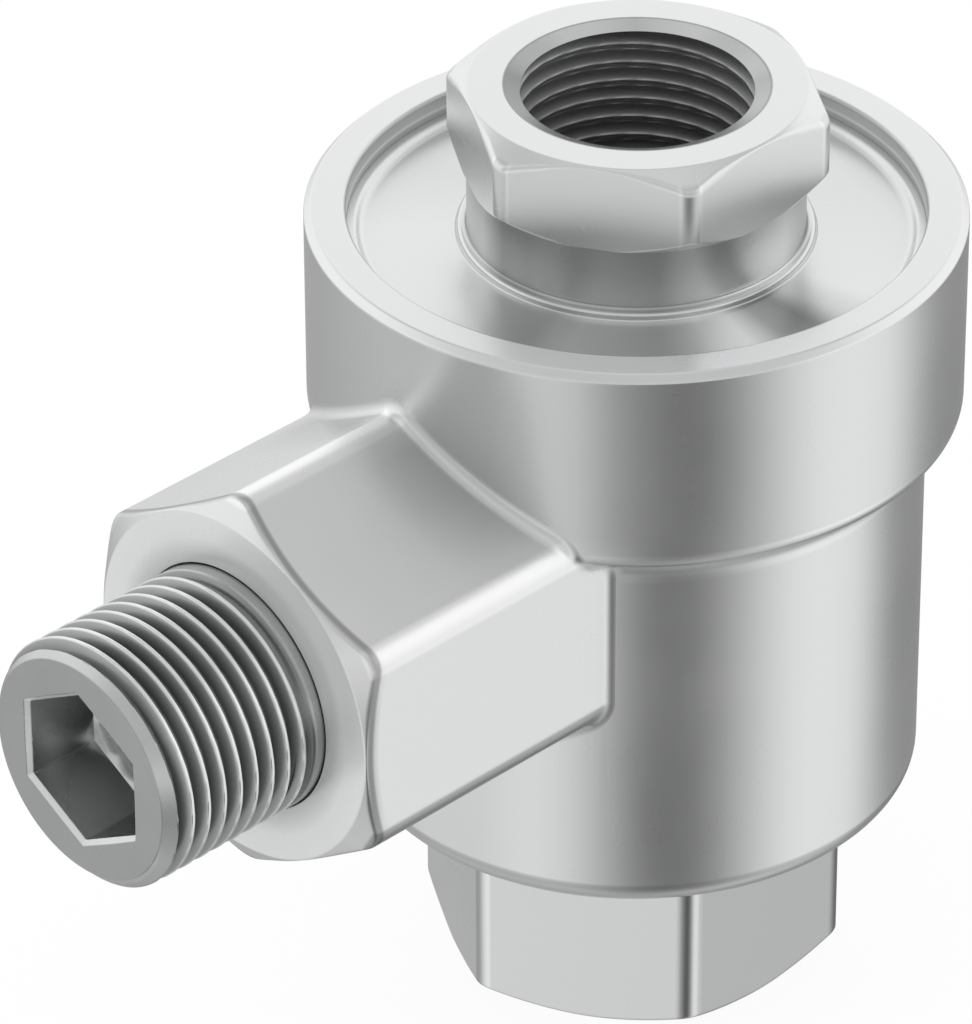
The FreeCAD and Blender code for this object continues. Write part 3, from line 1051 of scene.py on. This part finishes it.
def makeCard(name, rows, shadeAt):
    # glowing grey cards seen by reflections only: rows of (radius, level) around the axis, the grey in an
    # attribute
    steps = 180
    work = bmesh.new()
    grid = [[work.verts.new(Vector(p) * mm) for p in ring]
            for ring in ringsOf(roundOutline(steps), [rows] * steps)]
    for low, high in zip(grid, grid[1:]):
        for i in range(steps):
            j = (i + 1) % steps
            work.faces.new((low[i], high[i], high[j], low[j]))
    mesh = bpy.data.meshes.new(name)
    work.to_mesh(mesh)
    work.free()
    values = []
    for vertex in mesh.vertices:
        side = (math.degrees(math.atan2(vertex.co.y, vertex.co.x)) - cameraSide + 540) % 360 - 180
        values.append(shadeAt(side, math.hypot(vertex.co.x, vertex.co.y) / mm))
    mesh.attributes.new("shade", "FLOAT", "POINT").data.foreach_set("value", values)
    card = newObject(name, mesh)
    material = bpy.data.materials.new(name + "Paper")
    material.use_nodes = True
    tree = material.node_tree
    tree.nodes.remove(tree.nodes["Principled BSDF"])
    glow = tree.nodes.new("ShaderNodeEmission")
    shade = tree.nodes.new("ShaderNodeAttribute")
    shade.attribute_name = "shade"
    tree.links.new(shade.outputs["Fac"], glow.inputs["Strength"])
    tree.links.new(glow.outputs[0], tree.nodes["Material Output"].inputs[0])
    mesh.materials.append(material)
    card.visible_camera = False
    card.visible_diffuse = False
    card.visible_shadow = False


def makeLamp(name, place, size, power):
    lamp = bpy.data.lights.new(name, "AREA")
    lamp.shape = "SQUARE"
    lamp.size = size * mm
    lamp.energy = power
    holder = newObject(name, lamp)
    holder.location = Vector(place) * mm
    aim = Vector((0, 0, 30)) * mm - holder.location
    holder.rotation_euler = aim.to_track_quat("-Z", "Y").to_euler()
    holder.visible_glossy = False


makeFloor()
makeWorld()
lowerRadii = (1, 80, 160, 300, 450, 650, 900, 1300, 1900, 2600, 9000)
topRadii = (1, 140, 240, 330, 480, 540, 600, 660, 720, 820)
makeCard("lowerCard", [(r, -600.0) for r in lowerRadii], lowerShade)
makeCard("topCard", [(r, 600.0) for r in topRadii], lambda side, radius: between(topShades, radius))
makeCard("frontCard", [(700.0, level) for level in (40.0, 300.0, 590.0)],
         lambda side, radius: between(frontShades, side))
makeLamp("keyLamp", (-500, 250, 800), 500, 1.2)
makeLamp("fillLamp", (600, -300, 700), 600, 0.6)
print("studio ready")

# the photo's camera: place in mm, angles in degrees, lens in mm
view = {
    "place": (-297.131, -286.871, 299.941), "turn": -44.66086, "tilt": 32.95066, "roll": -0.25357,
    "lens": 263.672,
}


def makeCamera():
    turn, tilt, roll = (math.radians(view[k]) for k in ("turn", "tilt", "roll"))
    back = Vector((math.sin(turn) * math.cos(tilt), -math.cos(turn) * math.cos(tilt), math.sin(tilt)))
    right = Vector((math.cos(turn), math.sin(turn), 0))
    up = back.cross(right)
    side = right * math.cos(roll) + up * math.sin(roll)
    head = up * math.cos(roll) - right * math.sin(roll)
    lens = bpy.data.cameras.new("photoCamera")
    lens.lens = view["lens"]
    lens.clip_start = 0.01
    camera = newObject("photoCamera", lens)
    camera.matrix_world = Matrix((
        (side.x, head.x, back.x, view["place"][0] * mm), (side.y, head.y, back.y, view["place"][1] * mm),
        (side.z, head.z, back.z, view["place"][2] * mm), (0, 0, 0, 1)))
    bpy.context.scene.camera = camera


makeCamera()
bpy.context.scene.view_settings.view_transform = "Standard"
